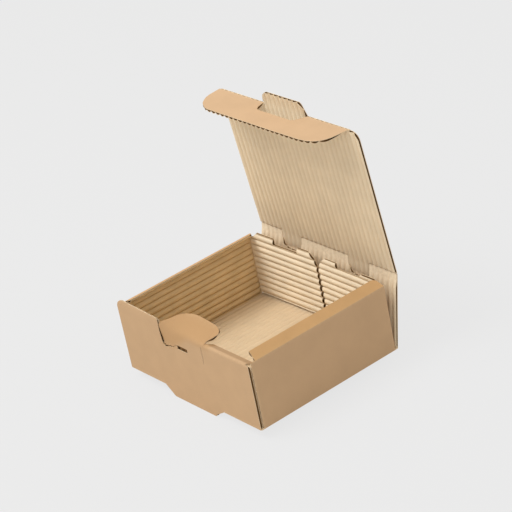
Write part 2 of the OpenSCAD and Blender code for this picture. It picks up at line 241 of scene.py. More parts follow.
@dataclass
class Cut:
    """A flat cut of board and the way it is folded.

    u runs across the flutes, v along them and t from the liner's outer face inward. low and high
    bound the cut along the flutes. press changes the crush of the straight bands at a place, a
    pick gives the liner's finish there, a brighter copy of the liner where light is painted, and a
    mask from 0 to 1 shifts the liner towards a darker, more orange copy, painted shade.
    """

    name: str
    columns: list[float]
    rows: list[float]
    low: Height
    high: Height
    fold: Fold
    board: Board = field(default_factory=Board)
    holes: list[Hole] = field(default_factory=list)
    bands: list[Band] = field(default_factory=list)
    marks: list[float] = field(default_factory=list)
    sheet: Face = Face.FLUTES
    lit_tone: Callable[[float, float], Face] = lambda u, v: Face.LINER
    warm_shading: Callable[[float, float], float] = lambda u, v: 0.0
    press: Callable[[float, float, float], float] = lambda u, v, plain: plain
    corner_reach: float = 0.45
    weld: float = 0.004
    least_area: float = 1e-5

    def crush(self, u: float, v: float) -> float:
        """Strongest crush of any fold at a place on the board, as press leaves it."""
        return self.press(u, v, max((band.crush(u, v) for band in self.bands), default=0.0))

    def near_corner(self, u: float) -> bool:
        """Whether the outline turns or jumps near a place across the flutes."""
        return any(abs(u - mark) < self.corner_reach for mark in self.marks)

    def flat_grid(self, columns: list[float], holes: list[Hole]) -> bmesh.types.BMesh:
        """Lays out the cut's outline as a flat grid, welded where it narrows.

        Args:
            columns: Places across the flutes.
            holes: Holes cut in this layer.

        Returns:
            The grid in millimetres, without the holes.
        """
        bm = bmesh.new()
        nu, nv = len(columns) - 1, len(self.rows) - 1
        bmesh.ops.create_grid(bm, x_segments=nu, y_segments=nv, size=0.5)
        for vert in bm.verts:
            u = columns[round((vert.co.x + 0.5) * nu)]
            v = self.rows[round((vert.co.y + 0.5) * nv)]
            vert.co = (u, min(max(v, self.low(u)), self.high(u)), 0)
        bmesh.ops.remove_doubles(bm, verts=bm.verts[:], dist=self.weld)
        mids = {face: face.calc_center_median() for face in bm.faces}
        lost = [
            face for face, mid in mids.items()
            if face.calc_area() < self.least_area or any(h.holds(mid.x, mid.y) for h in holes)
        ]
        bmesh.ops.delete(bm, geom=lost, context="FACES")
        loose = [vert for vert in bm.verts if not vert.link_faces]
        bmesh.ops.delete(bm, geom=loose, context="VERTS")
        return bm

    def thicken(
        self, bm: bmesh.types.BMesh, under: Depth, over: Depth, faces: tuple[Face, Face]
    ) -> None:
        """Gives a flat grid its thickness and folds it into place.

        Args:
            bm: The flat grid.
            under: Depth of the lower face at a place with a given crush.
            over: Depth of the upper face.
            faces: Material of the lower and the upper face.
        """
        lay_u = bm.verts.layers.float.new("u")
        lay_v = bm.verts.layers.float.new("v")
        rise = bm.verts.layers.float.new("rise")
        wear = bm.verts.layers.float.new("wear")
        warm = bm.verts.layers.float.new("warm")
        for vert in bm.verts:
            vert[lay_u], vert[lay_v] = vert.co.x, vert.co.y
        made = bmesh.ops.extrude_face_region(bm, geom=bm.faces[:])
        raised = {item for item in made["geom"] if isinstance(item, bmesh.types.BMVert)}
        for face in bm.faces:
            count = sum(vert in raised for vert in face.verts)
            kind = faces[1] if count == len(face.verts) else faces[0] if count == 0 else Face.CUT
            # Liner faces may take a brighter copy of the liner here, painted light.
            if kind is Face.LINER:
                mid = face.calc_center_median()
                kind = self.lit_tone(mid.x, mid.y)
            face.material_index = kind.value
            face.smooth = kind is not Face.CUT
        for edge in bm.edges:
            edge.smooth = len({face.smooth for face in edge.link_faces}) == 1
        for vert in bm.verts:
            u, v = vert[lay_u], vert[lay_v]
            crush = self.crush(u, v)
            t = (over if vert in raised else under)(u, v, crush)
            vert[rise] = t / self.board.depth
            vert[wear] = crush
            vert[warm] = self.warm_shading(u, v)
            vert.co = Vector(self.fold(u, v, t)) * MM
        bmesh.ops.recalc_face_normals(bm, faces=bm.faces[:])

    def liner(self) -> bmesh.types.BMesh:
        """Builds the smooth outer liner.

        Returns:
            The liner, folded into place.
        """
        board = self.board
        step = board.pitch / 2
        start, end = self.columns[0], self.columns[-1]
        places = {start, end, *self.marks}
        places |= {k * step for k in range(math.ceil(start / step), math.floor(end / step) + 1)}
        places |= {u for u in self.columns if self.near_corner(u)}
        bm = self.flat_grid(sorted(u for u in places if start <= u <= end), self.holes)
        # The liner's inner face takes the dark finish of the hollows, painted shade.
        self.thicken(
            bm, lambda u, v, crush: 0.0, lambda u, v, crush: board.liner,
            (Face.LINER, Face.HOLLOW),
        )
        return bm

    def flutes(self) -> bmesh.types.BMesh:
        """Builds the fluted sheet that stands on the liner.

        Returns:
            The sheet, folded into place.
        """
        board = self.board
        rise = board.depth - board.liner - board.sheet

        def top(u: float, v: float, crush: float) -> float:
            """Depth of the sheet's inner face.

            Args:
                u: Place across the flutes.
                v: Place along the flutes.
                crush: How far the flutes are pressed flat.

            Returns:
                The distance inward from the liner's outer face.
            """
            wobble = 1 + board.uneven * noise.noise(Vector((u * 0.11, v * 0.03, len(self.name))))
            full = min(1.0, board.crest(u) * wobble)
            flat = board.pressed + board.pressed_uneven * noise.noise(Vector((u * 0.3, v * 0.5, 3.0)))
            glued = board.liner + board.sheet * (1 - board.glued_in)
            return glued + rise * full * (1 - crush * (1 - flat))

        # The sheet's under face takes the dark finish of the hollows, painted shade.
        bm = self.flat_grid(self.columns, [hole for hole in self.holes if hole.through])
        self.thicken(
            bm, lambda u, v, crush: top(u, v, crush) - board.sheet, top,
            (Face.HOLLOW, self.sheet),
        )
        return bm


@dataclass(frozen=True)
class Bend:
    """A fold in a panel seen edge-on."""

    at: float
    turn: float
    width: float


@dataclass
class Spine:
    """Outer line of a bent panel seen edge-on, as inward and upward distances."""

    lean: float
    bends: tuple[Bend, ...] = ()
    start: tuple[float, float] = (0.0, 0.0)

    def place(self, s: float, t: float) -> tuple[float, float]:
        """Where a point of the panel lies.

        Args:
            s: Distance along the outer line, below zero before its start.
            t: Distance inward from it.

        Returns:
            The inward and upward distances of the point.
        """
        a, b = self.start
        angle, done = self.lean, 0.0
        if s < 0:
            return (
                a + s * math.sin(angle) + t * math.cos(angle),
                b + s * math.cos(angle) - t * math.sin(angle),
            )
        for bend in self.bends:
            first = bend.at - bend.width / 2
            run = min(s, first) - done
            if run > 0:
                a += run * math.sin(angle)
                b += run * math.cos(angle)
                done += run
            inside = min(max(s - first, 0.0), bend.width)
            if inside > 0:
                part = bend.turn * inside / bend.width
                half = angle + part / 2
                a += inside * math.sin(half)
                b += inside * math.cos(half)
                angle += part
                done += inside
        a += (s - done) * math.sin(angle)
        b += (s - done) * math.cos(angle)
        return a + t * math.cos(angle), b - t * math.sin(angle)


def spread(start: float, end: float, gap: float, fine: Line) -> list[float]:
    """Rows along the flutes, closer together beside each fold.

    Args:
        start: First row.
        end: Last row.
        gap: Widest gap between rows.
        fine: Middle and half-width of each stretch that needs close rows.

    Returns:
        The rows in order.
    """
    count = max(1, round((end - start) / gap))
    rows = {round(start + (end - start) * k / count, 3) for k in range(count + 1)}
    for mid, half in fine:
        rows |= {round(mid + half * k / 5, 3) for k in range(-5, 6)}
    kept: list[float] = []
    for row in sorted(r for r in rows if start <= r <= end):
        if not kept or row - kept[-1] > SAME_PLACE:
            kept.append(row)
    kept[-1] = end
    return kept


def arc(
    middle: tuple[float, float], reach: tuple[float, float], first: float, last: float, count: int
) -> Line:
    """Points along a round corner.

    Args:
        middle: Middle of the corner's ellipse.
        reach: Half-widths of the ellipse.
        first: Turn of the first point in degrees, clockwise from straight up.
        last: Turn of the last point.
        count: Gaps between the points.

    Returns:
        The points in order.
    """
    turns = (math.radians(first + (last - first) * k / count) for k in range(count + 1))
    return [(middle[0] + reach[0] * math.sin(a), middle[1] + reach[1] * math.cos(a)) for a in turns]


def stepped(points: Line) -> Height:
    """Height read off a line through points.

    Args:
        points: Places and heights, in order of place.

    Returns:
        A function from place to height.
    """

    def height(u: float) -> float:
        """Height of the line at a place.

        Args:
            u: The place.

        Returns:
            The height, level beyond both ends.
        """
        if u <= points[0][0]:
            return points[0][1]
        for (u0, h0), (u1, h1) in zip(points, points[1:]):
            if u <= u1:
                return h0 + (h1 - h0) * (u - u0) / max(u1 - u0, 1e-6)
        return points[-1][1]

    return height


def maths(
    tree: bpy.types.NodeTree,
    operation: str,
    first: bpy.types.NodeSocket,
    second: bpy.types.NodeSocket | float,
) -> bpy.types.NodeSocket:
    """Joins two values in a node tree.

    Args:
        tree: Tree that takes the node.
        operation: The Math node's operation.
        first: Socket of one value.
        second: The other value or its socket.

    Returns:
        The result's socket.
    """
    node = tree.nodes.new("ShaderNodeMath")
    node.operation = operation
    tree.links.new(first, node.inputs[0])
    if isinstance(second, bpy.types.NodeSocket):
        tree.links.new(second, node.inputs[1])
    else:
        node.inputs[1].default_value = second
    return node.outputs["Value"]


@dataclass(frozen=True)
class Kraft:
    """Matt brown paper with fibres, specks and pale wear at its folds.

    Its third colour is painted shade in the valleys between flutes, fading out between the two
    rises in depths, and its last colour is a darker, more orange copy, painted shade that a cut's
    mask mixes in.
    """

    name: str
    colour: Colour
    worn: Colour
    groove_shade: Colour | None = None
    depths: tuple[float, float] = (0.2, 0.62)
    wear: float = 0.9
    roughness: float = 0.85
    sheen: float = 0.18
    mottle: float = 0.05
    warm: Colour | None = None

    def material(self) -> bpy.types.Material:
        """Builds the paper's node tree.

        Returns:
            The finished material.
        """
        mat = bpy.data.materials.new(self.name)
        mat.use_nodes = True
        tree = mat.node_tree
        coords = tree.nodes.new("ShaderNodeTexCoord")
        fibre = self.noise(tree, coords, 900.0, 6.0)
        shade = self.paper(tree, coords, fibre)
        # Painted shade on the tongue: a darker, more orange copy of the liner, mixed in by its mask.
        if self.warm:
            shade = self.mix(tree, self.attribute(tree, "warm"), shade, self.warm)
        # Painted shade in the valleys between flutes, deepest at their bottoms.
        if self.groove_shade:
            shade = self.mix(tree, self.valley(tree), shade, self.groove_shade)
        patch = self.curve(tree, self.noise(tree, coords, 420.0, 3.0), 0.32, 0.62, self.wear)
        rub = maths(tree, "MULTIPLY", self.attribute(tree, "wear"), patch)
        shade = self.mix(tree, rub, shade, self.worn)
        bump = tree.nodes.new("ShaderNodeBump")
        bump.inputs["Strength"].default_value = 0.22
        bump.inputs["Distance"].default_value = 0.0002
        tree.links.new(fibre, bump.inputs["Height"])
        bsdf = tree.nodes["Principled BSDF"]
        bsdf.inputs["Roughness"].default_value = self.roughness
        bsdf.inputs["Specular IOR Level"].default_value = self.sheen
        tree.links.new(shade, bsdf.inputs["Base Color"])
        tree.links.new(bump.outputs["Normal"], bsdf.inputs["Normal"])
        return mat

    def paper(
        self, tree: bpy.types.NodeTree, coords: bpy.types.Node, fibre: bpy.types.NodeSocket
    ) -> bpy.types.NodeSocket:
        """Adds the paper's blotches, fibres and dark specks.

        Args:
            tree: Tree that takes the nodes.
            coords: The Texture Coordinate node.
            fibre: Pattern of the fibres.

        Returns:
            The colour's socket.
        """
        blotch = self.curve(tree, self.noise(tree, coords, 55.0, 4.0), 0.35, 0.7)
        shade = self.mix(tree, blotch, self.colour, self.darker(1 - self.mottle * 2.4))
        streak = self.curve(tree, fibre, 0.5, 0.78, self.mottle * 7)
        shade = self.mix(tree, streak, shade, self.darker(0.86))
        speck = self.curve(tree, self.noise(tree, coords, 2600.0, 2.0), 0.68, 0.8, 0.5)
        return self.mix(tree, speck, shade, self.darker(0.62))

    def darker(self, part: float) -> Colour:
        """The paper's colour at a part of its brightness."""
        return tuple(c * part for c in self.colour)

    def valley(self, tree: bpy.types.NodeTree) -> bpy.types.NodeSocket:
        """Tells how much painted shade a place gets from how deep in a valley it lies, less so where the
        flutes are worn.

        Args:
            tree: Tree that takes the nodes.

        Returns:
            A socket that is 1 at the bottom of a whole valley and 0 on a crest.
        """
        depth = self.curve(tree, self.attribute(tree, "rise"), *self.depths, 0.0, 1.0)
        kept = self.curve(tree, self.attribute(tree, "wear"), 0.0, 1.0, 0.1, 1.0)
        return maths(tree, "MULTIPLY", depth, kept)

    @staticmethod
    def attribute(tree: bpy.types.NodeTree, name: str) -> bpy.types.NodeSocket:
        """Reads one of the board's own attributes.

        Args:
            tree: Tree that takes the node.
            name: Name of the attribute.

        Returns:
            The value's socket.
        """
        node = tree.nodes.new("ShaderNodeAttribute")
        node.attribute_name = name
        return node.outputs["Fac"]

    @staticmethod
    def noise(
        tree: bpy.types.NodeTree, coords: bpy.types.Node, scale: float, detail: float
    ) -> bpy.types.NodeSocket:
        """Adds a noise pattern on Object coordinates.

        Args:
            tree: Tree that takes the node.
            coords: The Texture Coordinate node.
            scale: Pattern scale per metre.
            detail: Octaves of detail.

        Returns:
            The noise value's socket.
        """
        node = tree.nodes.new("ShaderNodeTexNoise")
        node.inputs["Scale"].default_value = scale
        node.inputs["Detail"].default_value = detail
        tree.links.new(coords.outputs["Object"], node.inputs["Vector"])
        return node.outputs["Fac"]

    @staticmethod
    def curve(
        tree: bpy.types.NodeTree,
        value: bpy.types.NodeSocket,
        low: float,
        high: float,
        top: float = 1.0,
        bottom: float = 0.0,
    ) -> bpy.types.NodeSocket:
        """Stretches some of a pattern's values from bottom to top.

        Args:
            tree: Tree that takes the node.
            value: The pattern.
            low: Value that becomes bottom, like all below it.
            high: Value that becomes top, like all above it.
            top: Result at high.
            bottom: Result at low.

        Returns:
            The stretched value's socket.
        """
        node = tree.nodes.new("ShaderNodeMapRange")
        node.inputs["From Min"].default_value = low
        node.inputs["From Max"].default_value = high
        node.inputs["To Min"].default_value = bottom
        node.inputs["To Max"].default_value = top
        tree.links.new(value, node.inputs["Value"])
        return node.outputs["Result"]

    @staticmethod
    def mix(
        tree: bpy.types.NodeTree,
        factor: bpy.types.NodeSocket,
        first: Colour | bpy.types.NodeSocket,
        second: Colour,
    ) -> bpy.types.NodeSocket:
        """Adds a colour mix.

        Args:
            tree: Tree that takes the node.
            factor: Socket that sets the mix.
            first: Colour or socket shown at factor 0.
            second: Colour shown at factor 1.

        Returns:
            The mixed colour's socket.
        """
        node = tree.nodes.new("ShaderNodeMix")
        node.data_type = "RGBA"
        tree.links.new(factor, node.inputs[0])
        colours = [port for port in node.inputs if port.type == "RGBA"]
        if isinstance(first, bpy.types.NodeSocket):
            tree.links.new(first, colours[0])
        else:
            colours[0].default_value = (*first, 1.0)
        colours[1].default_value = (*second, 1.0)
        return next(port for port in node.outputs if port.type == "RGBA")


def linear(*rgb: int) -> Colour:
    """Scene colour of an 8-bit screen colour."""
    parts = [c / 255 for c in rgb]
    return tuple(p / 12.92 if p <= 0.04045 else ((p + 0.055) / 1.055) ** 2.4 for p in parts)


# The liner's last colour is painted shade for the tongue, darker and more orange.
LINER = Kraft(
    "kraft_liner", linear(187, 154, 118), linear(200, 168, 130), wear=0.35, mottle=0.02,
    warm=linear(180, 143, 102),
)
# The third colour of each fluted finish is painted shade in the valleys between flutes.
FLUTED = Kraft(
    "kraft_flutes", linear(237, 220, 192), linear(246, 230, 202), linear(178, 144, 96)
)
CUT_EDGE = Kraft("kraft_cut_edge", linear(222, 196, 160), linear(232, 208, 174), wear=0.5)
# Painted shade: a darker copy of the flute paper for the back panel, lid and tuck flap, with fainter
# valley shade.
PANEL_FLUTED_SHADED = Kraft(
    "kraft_panel_flutes", linear(223, 203, 172), linear(232, 213, 184),
    linear(204, 180, 142), (0.1, 0.5), mottle=0.03,
)
# Painted shade: a darker, more saturated copy of the flute paper for the side walls' insides.
WALL_FLUTED_SHADED = Kraft(
    "kraft_wall_flutes", linear(221, 193, 148), linear(236, 214, 178), linear(166, 125, 72)
)
# Painted shade: a dark copy of the paper for the sheet's underside and the liner's inner face, where the
# hollows lie in shadow.
HOLLOW = Kraft("kraft_hollow", linear(128, 94, 56), linear(140, 104, 64))
# Painted light: a brighter, more orange copy of the liner for the side walls' strips.
LIP = Kraft("kraft_lip", linear(201, 159, 110), linear(206, 170, 124), wear=0.3, mottle=0.03)
# Painted light: a brighter, paler copy of the liner for the tuck flap.
TUCK = Kraft("kraft_tuck", linear(204, 170, 133), linear(212, 180, 142), wear=0.4, mottle=0.02)
# Painted shade: a darker copy of the flute paper for the floor, with faint valley shade.
FLOOR_FLUTED_SHADED = Kraft(
    "kraft_floor_flutes", linear(221, 198, 164), linear(226, 205, 174),
    linear(214, 190, 154), (0.1, 0.4), mottle=0.03,
)
FINISHES = (
    LINER, FLUTED, CUT_EDGE, PANEL_FLUTED_SHADED, WALL_FLUTED_SHADED, HOLLOW, LIP, TUCK, FLOOR_FLUTED_SHADED
)


@dataclass
class Dresser:
    """Turns finished bmeshes into named pieces that ride on a body."""

    materials: list[bpy.types.Material]

    def piece(self, name: str, cuts: list[Cut], body: str, node: str) -> bpy.types.Object:
        """Makes one piece from its cuts of board.

        Args:
            name: Name of the piece.
            cuts: The cuts that form it.
            body: Body that carries it.
            node: CAD node that it stands for.

        Returns:
            The finished object.
        """
        mesh = bpy.data.meshes.new(name)
        whole = bmesh.new()
        for cut in cuts:
            for part in (cut.liner(), cut.flutes()):
                part.to_mesh(mesh)
                part.free()
                whole.from_mesh(mesh)
        whole.to_mesh(mesh)
        whole.free()
        for mat in self.materials:
            mesh.materials.append(mat)
        obj = bpy.data.objects.new(name, mesh)
        bpy.context.scene.collection.objects.link(obj)
        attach(obj, body)
        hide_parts(node)
        return obj


@dataclass
class Place:
    """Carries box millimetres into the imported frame."""

    shift_y: float
    lift: float

    def at(self, x: float, y: float, z: float) -> Position:
        """Frame position, still in millimetres."""
        return x, y - self.shift_y, z + self.lift


@dataclass
class FrontWall:
    """Front wall with its foot tab, strips and twisted locking tongue.

    The left strip stands left_drop lower than the right one, and the tongue's left end is cut
    free over lobe_w.
    """

    sizes: Sizes
    place: Place
    board: Board = Board(shift=1.2)
    left_drop: float = 2.3
    lobe_w: float = 22.5
    foot_half: float = 42.5

    @property
    def neck(self) -> float:
        """Place where the tongue's free left end meets its neck."""
        return -self.sizes.tongue_half + self.lobe_w

    def twist(self, x: float) -> Bend:
        """Bend of the tongue at a place along the wall, sharper to the right.

        Args:
            x: Place along the wall.

        Returns:
            The bend over the wall's crease.
        """
        box = self.sizes
        part = min(max((x + box.tongue_half) / (2 * box.tongue_half), 0.0), 1.0)
        return Bend(box.wall_h, math.radians(box.tongue_lean * part), 9.0 - 5.0 * part)

    def fold(self, u: float, v: float, t: float) -> Position:
        """Folds the wall's strips inward, and the tongue between them.

        Args:
            u: Place across the flutes.
            v: Place along the flutes.
            t: Distance inward from the liner's outer face.

        Returns:
            Frame position in millimetres.
        """
        box = self.sizes
        if u < -box.tongue_half - 0.15:
            bend = Bend(box.wall_h, math.radians(box.left_lean), 3.0)
        elif u > box.tongue_half + 0.25:
            bend = Bend(box.wall_h, math.radians(box.right_lean), 3.0)
        else:
            bend = self.twist(u)
        inward, up = Spine(0.0, (bend,)).place(v, t)
        return self.place.at(u, max(inward, 0.0), up)

    def fold_tongue(self, u: float, v: float, t: float) -> Position:
        """Folds the tongue's free ends, with the lobe's foot pushed in a little.

        Args:
            u: Place across the flutes.
            v: Place along the flutes.
            t: Distance inward from the liner's outer face.

        Returns:
            Frame position in millimetres.
        """
        inward, up = Spine(0.0, (self.twist(u),)).place(v, t)
        left = min(max((-11.0 - u) / 20.0, 0.0), 1.0)
        low = min(max((self.sizes.wall_h + 5 - v) / 20.0, 0.0), 1.0)
        return self.place.at(u, max(inward, 0.0) + 1.9 * left * low, up)

    def tongue_top(self) -> Line:
        """Upper outline of the tongue, as places along the wall and heights.

        Returns:
            Its points from left to right.
        """
        rises = [
            (-33.0, 0.4), (-31.8, 0.9), (-30.0, 2.5), (-27.5, 4.7), (-24.5, 6.4), (-21.0, 8.0),
            (-15.2, 11.1), (-9.7, 14.8), (-4.7, 17.5), (0.2, 19.4), (5.0, 20.7), (10.7, 21.6),
            (14.9, 21.5), (20.4, 21.1), (25.4, 21.0), (28.6, 20.8), (32.5, 20.2), (35.4, 19.1),
            (37.8, 17.7), (39.2, 16.0), (39.5, 14.4),
        ]
        return [(x, self.sizes.wall_h + rise) for x, rise in rises]

    def sill(self) -> Line:
        """Edge of the wall that the tongue's free left end was cut from.

        Returns:
            Its points from left to right.
        """
        left = -self.sizes.tongue_half
        return [
            (left, 53.0), (left + 0.8, 48.0), (left + 2.2, 45.3), (left + 4.6, 44.3),
            (left + 7.4, 45.0), (left + 10.4, 46.1), (left + 16.5, 47.3), (left + 19.5, 49.2),
            (self.neck, 51.0),
        ]

    def holes(self) -> list[Hole]:
        """The slot in the liner under the tongue and the slit at the tongue's right end.

        Returns:
            Both holes.
        """
        half, crease = self.sizes.tongue_half, self.sizes.wall_h
        return [
            # Through the slot shows the sheet's dark underside, painted shade.
            Hole(-half + 23.5, -half + 38.2, 47.8, 51.8, False),
            Hole(half - 5.6, half - 4.8, crease - 20.5, crease - 3.5),
        ]

    def rows(self) -> list[float]:
        """Rows along the flutes for all cuts of the wall.

        Returns:
            The rows in order.
        """
        box = self.sizes
        top = max(v for _, v in self.tongue_top())
        rows = spread(-box.foot_h, top, 4.0, [(box.wall_h, 6.0), (0.0, 3.5)])
        return sorted({*rows, *(v for hole in self.holes() for v in (hole.v0, hole.v1))})

    def upper_edge(self) -> Line:
        """Upper outline of the wall, its strips and the tongue's neck between them.

        Returns:
            Its points from left to right.
        """
        box = self.sizes
        half, wide, right = box.tongue_half, box.tray_w / 2, box.tray_w / 2 - box.setback
        top, tongue = box.wall_h + box.front_lip, self.tongue_top()
        low, inner = top - self.left_drop, right - box.side_y
        return [
            *arc((-wide + 10, low - 8), (10, 8), -90, 0, 6),
            (-half - 1.6, low - 2.1), (-half - 0.7, low - 3.0), (-half - 0.42, 58.0),
            *self.sill(), (self.neck + 0.05, stepped(tongue)(self.neck)),
            *(point for point in tongue if self.neck < point[0] < half),
            (half - 0.1, stepped(tongue)(half)), (half, box.wall_h - 1.0),
            (half + 0.3, box.wall_h - 1.0), (half + 0.7, top - 0.6), (half + 2.0, top),
            (inner - 3.0, top), (inner, top - 2.2), (inner + 0.05, box.wall_h - 0.6),
            (right, box.wall_h - 0.6),
        ]

    def foot_edge(self) -> Line:
        """Lower outline of the wall, with the tab that reaches below the floor.

        Returns:
            Its points from left to right.
        """
        half, low = self.foot_half, -self.sizes.foot_h
        return [
            (-half - 0.4, 0.0), (-half - 0.3, -0.1), (-30.6, low), (28.6, low), (29.6, low + 0.5),
            (31.4, -5.6), (33.0, -5.4), (half - 0.1, -0.1), (half, 0.0),
        ]

    def main_cut(self) -> Cut:
        """The wall with its strips and the part of the tongue that it carries.

        Returns:
            The cut of board.
        """
        box = self.sizes
        upper, foot, holes = self.upper_edge(), self.foot_edge(), self.holes()
        bends = [x for x, _ in upper if not self.neck + 0.05 < x < box.tongue_half - 0.1]
        marks = [*bends, *(x for x, _ in foot), *(u for hole in holes for u in (hole.u0, hole.u1))]
        columns = self.board.columns(-box.tray_w / 2, box.tray_w / 2 - box.setback, marks)
        bands = [Band(0.0, 3.0, False), Band(box.wall_h, 3.6, False)]
        return Cut(
            "front_main", columns, self.rows(), stepped(foot), stepped(upper), self.fold,
            self.board, holes, bands, marks, warm_shading=self.tongue_shade, press=self.press,
        )

    def lobe_cut(self) -> Cut:
        """The tongue's free left end.

        Returns:
            The cut of board.
        """
        left, tongue = -self.sizes.tongue_half, self.tongue_top()
        gap = [(x + 0.5 * (x < left + 1), v + 0.55) for x, v in self.sill()[1:]]
        marks = [x for x, _ in [*gap, *tongue] if left < x < self.neck]
        return Cut(
            "front_lobe", self.board.columns(left + 0.2, self.neck + 0.02, marks), self.rows(),
            stepped([(left, 58.0), *gap]), stepped(tongue), self.fold_tongue, self.board,
            marks=marks, warm_shading=self.tongue_shade,
        )

    def ear_cut(self) -> Cut:
        """The tongue's right end, which reaches past its slit.

        Returns:
            The cut of board.
        """
        right, crease = self.sizes.tongue_half, self.sizes.wall_h
        start, end = right - 0.11, right + self.sizes.tongue_ear
        low = stepped(
            [(start, crease + 1.4), (right + 0.4, crease + 3.4), (right + 0.9, crease + 5.0),
             (right + 3.9, crease + 9.0), (end, crease + 13.6)]
        )
        marks = [right + reach for reach in (0.4, 0.9, 2.4, 3.9, 4.8, 6.2)]
        return Cut(
            "front_ear", self.board.columns(start, end, marks), self.rows(), low,
            stepped(self.tongue_top()), self.fold_tongue, self.board,
            marks=marks, warm_shading=self.tongue_shade,
        )

    def tongue_shade(self, u: float, v: float) -> float:
        """How much of the darker, more orange painted shade the liner gets, from 0 on the wall to 1 on
        the tongue bent from it.

        Args:
            u: Place across the flutes.
            v: Place along the flutes.

        Returns:
            The part of the painted shade's colour.
        """
        box = self.sizes
        if not -box.tongue_half < u < box.tongue_half + box.tongue_ear:
            return 0.0
        part = min(max((u + 16) / 24, 0.0), 1.0)
        edge = 43 + (box.wall_h - 50) * part
        return min(max((v - edge) / 8, 0.0), 1.0)

    def press(self, u: float, v: float, plain: float) -> float:
        """Keeps the flutes whole at the foot tab and most of the tongue, and flattens its tip.

        Args:
            u: Place across the flutes.
            v: Place along the flutes.
            plain: Crush of the straight bands there.

        Returns:
            The crush that is left.
        """
        box = self.sizes
        tip = box.wall_h + 17
        if v < 10:
            return 0.0 if abs(u) < self.foot_half else plain
        if v > tip and u > 0:
            return min((v - tip) / 2, 1.0)
        if abs(u) < box.tongue_half:
            return 0.35 * max(0.0, u / box.tongue_half) * plain
        if u < 0:
            return 1.0 if v > box.wall_h + 4.2 else 0.0
        return plain

    def build(self, dresser: Dresser) -> list[bpy.types.Object]:
        """Makes and dresses the front wall's piece."""
        cuts = [self.main_cut(), self.lobe_cut(), self.ear_cut()]
        return [dresser.piece("tray_front", cuts, "tray", "tray")]


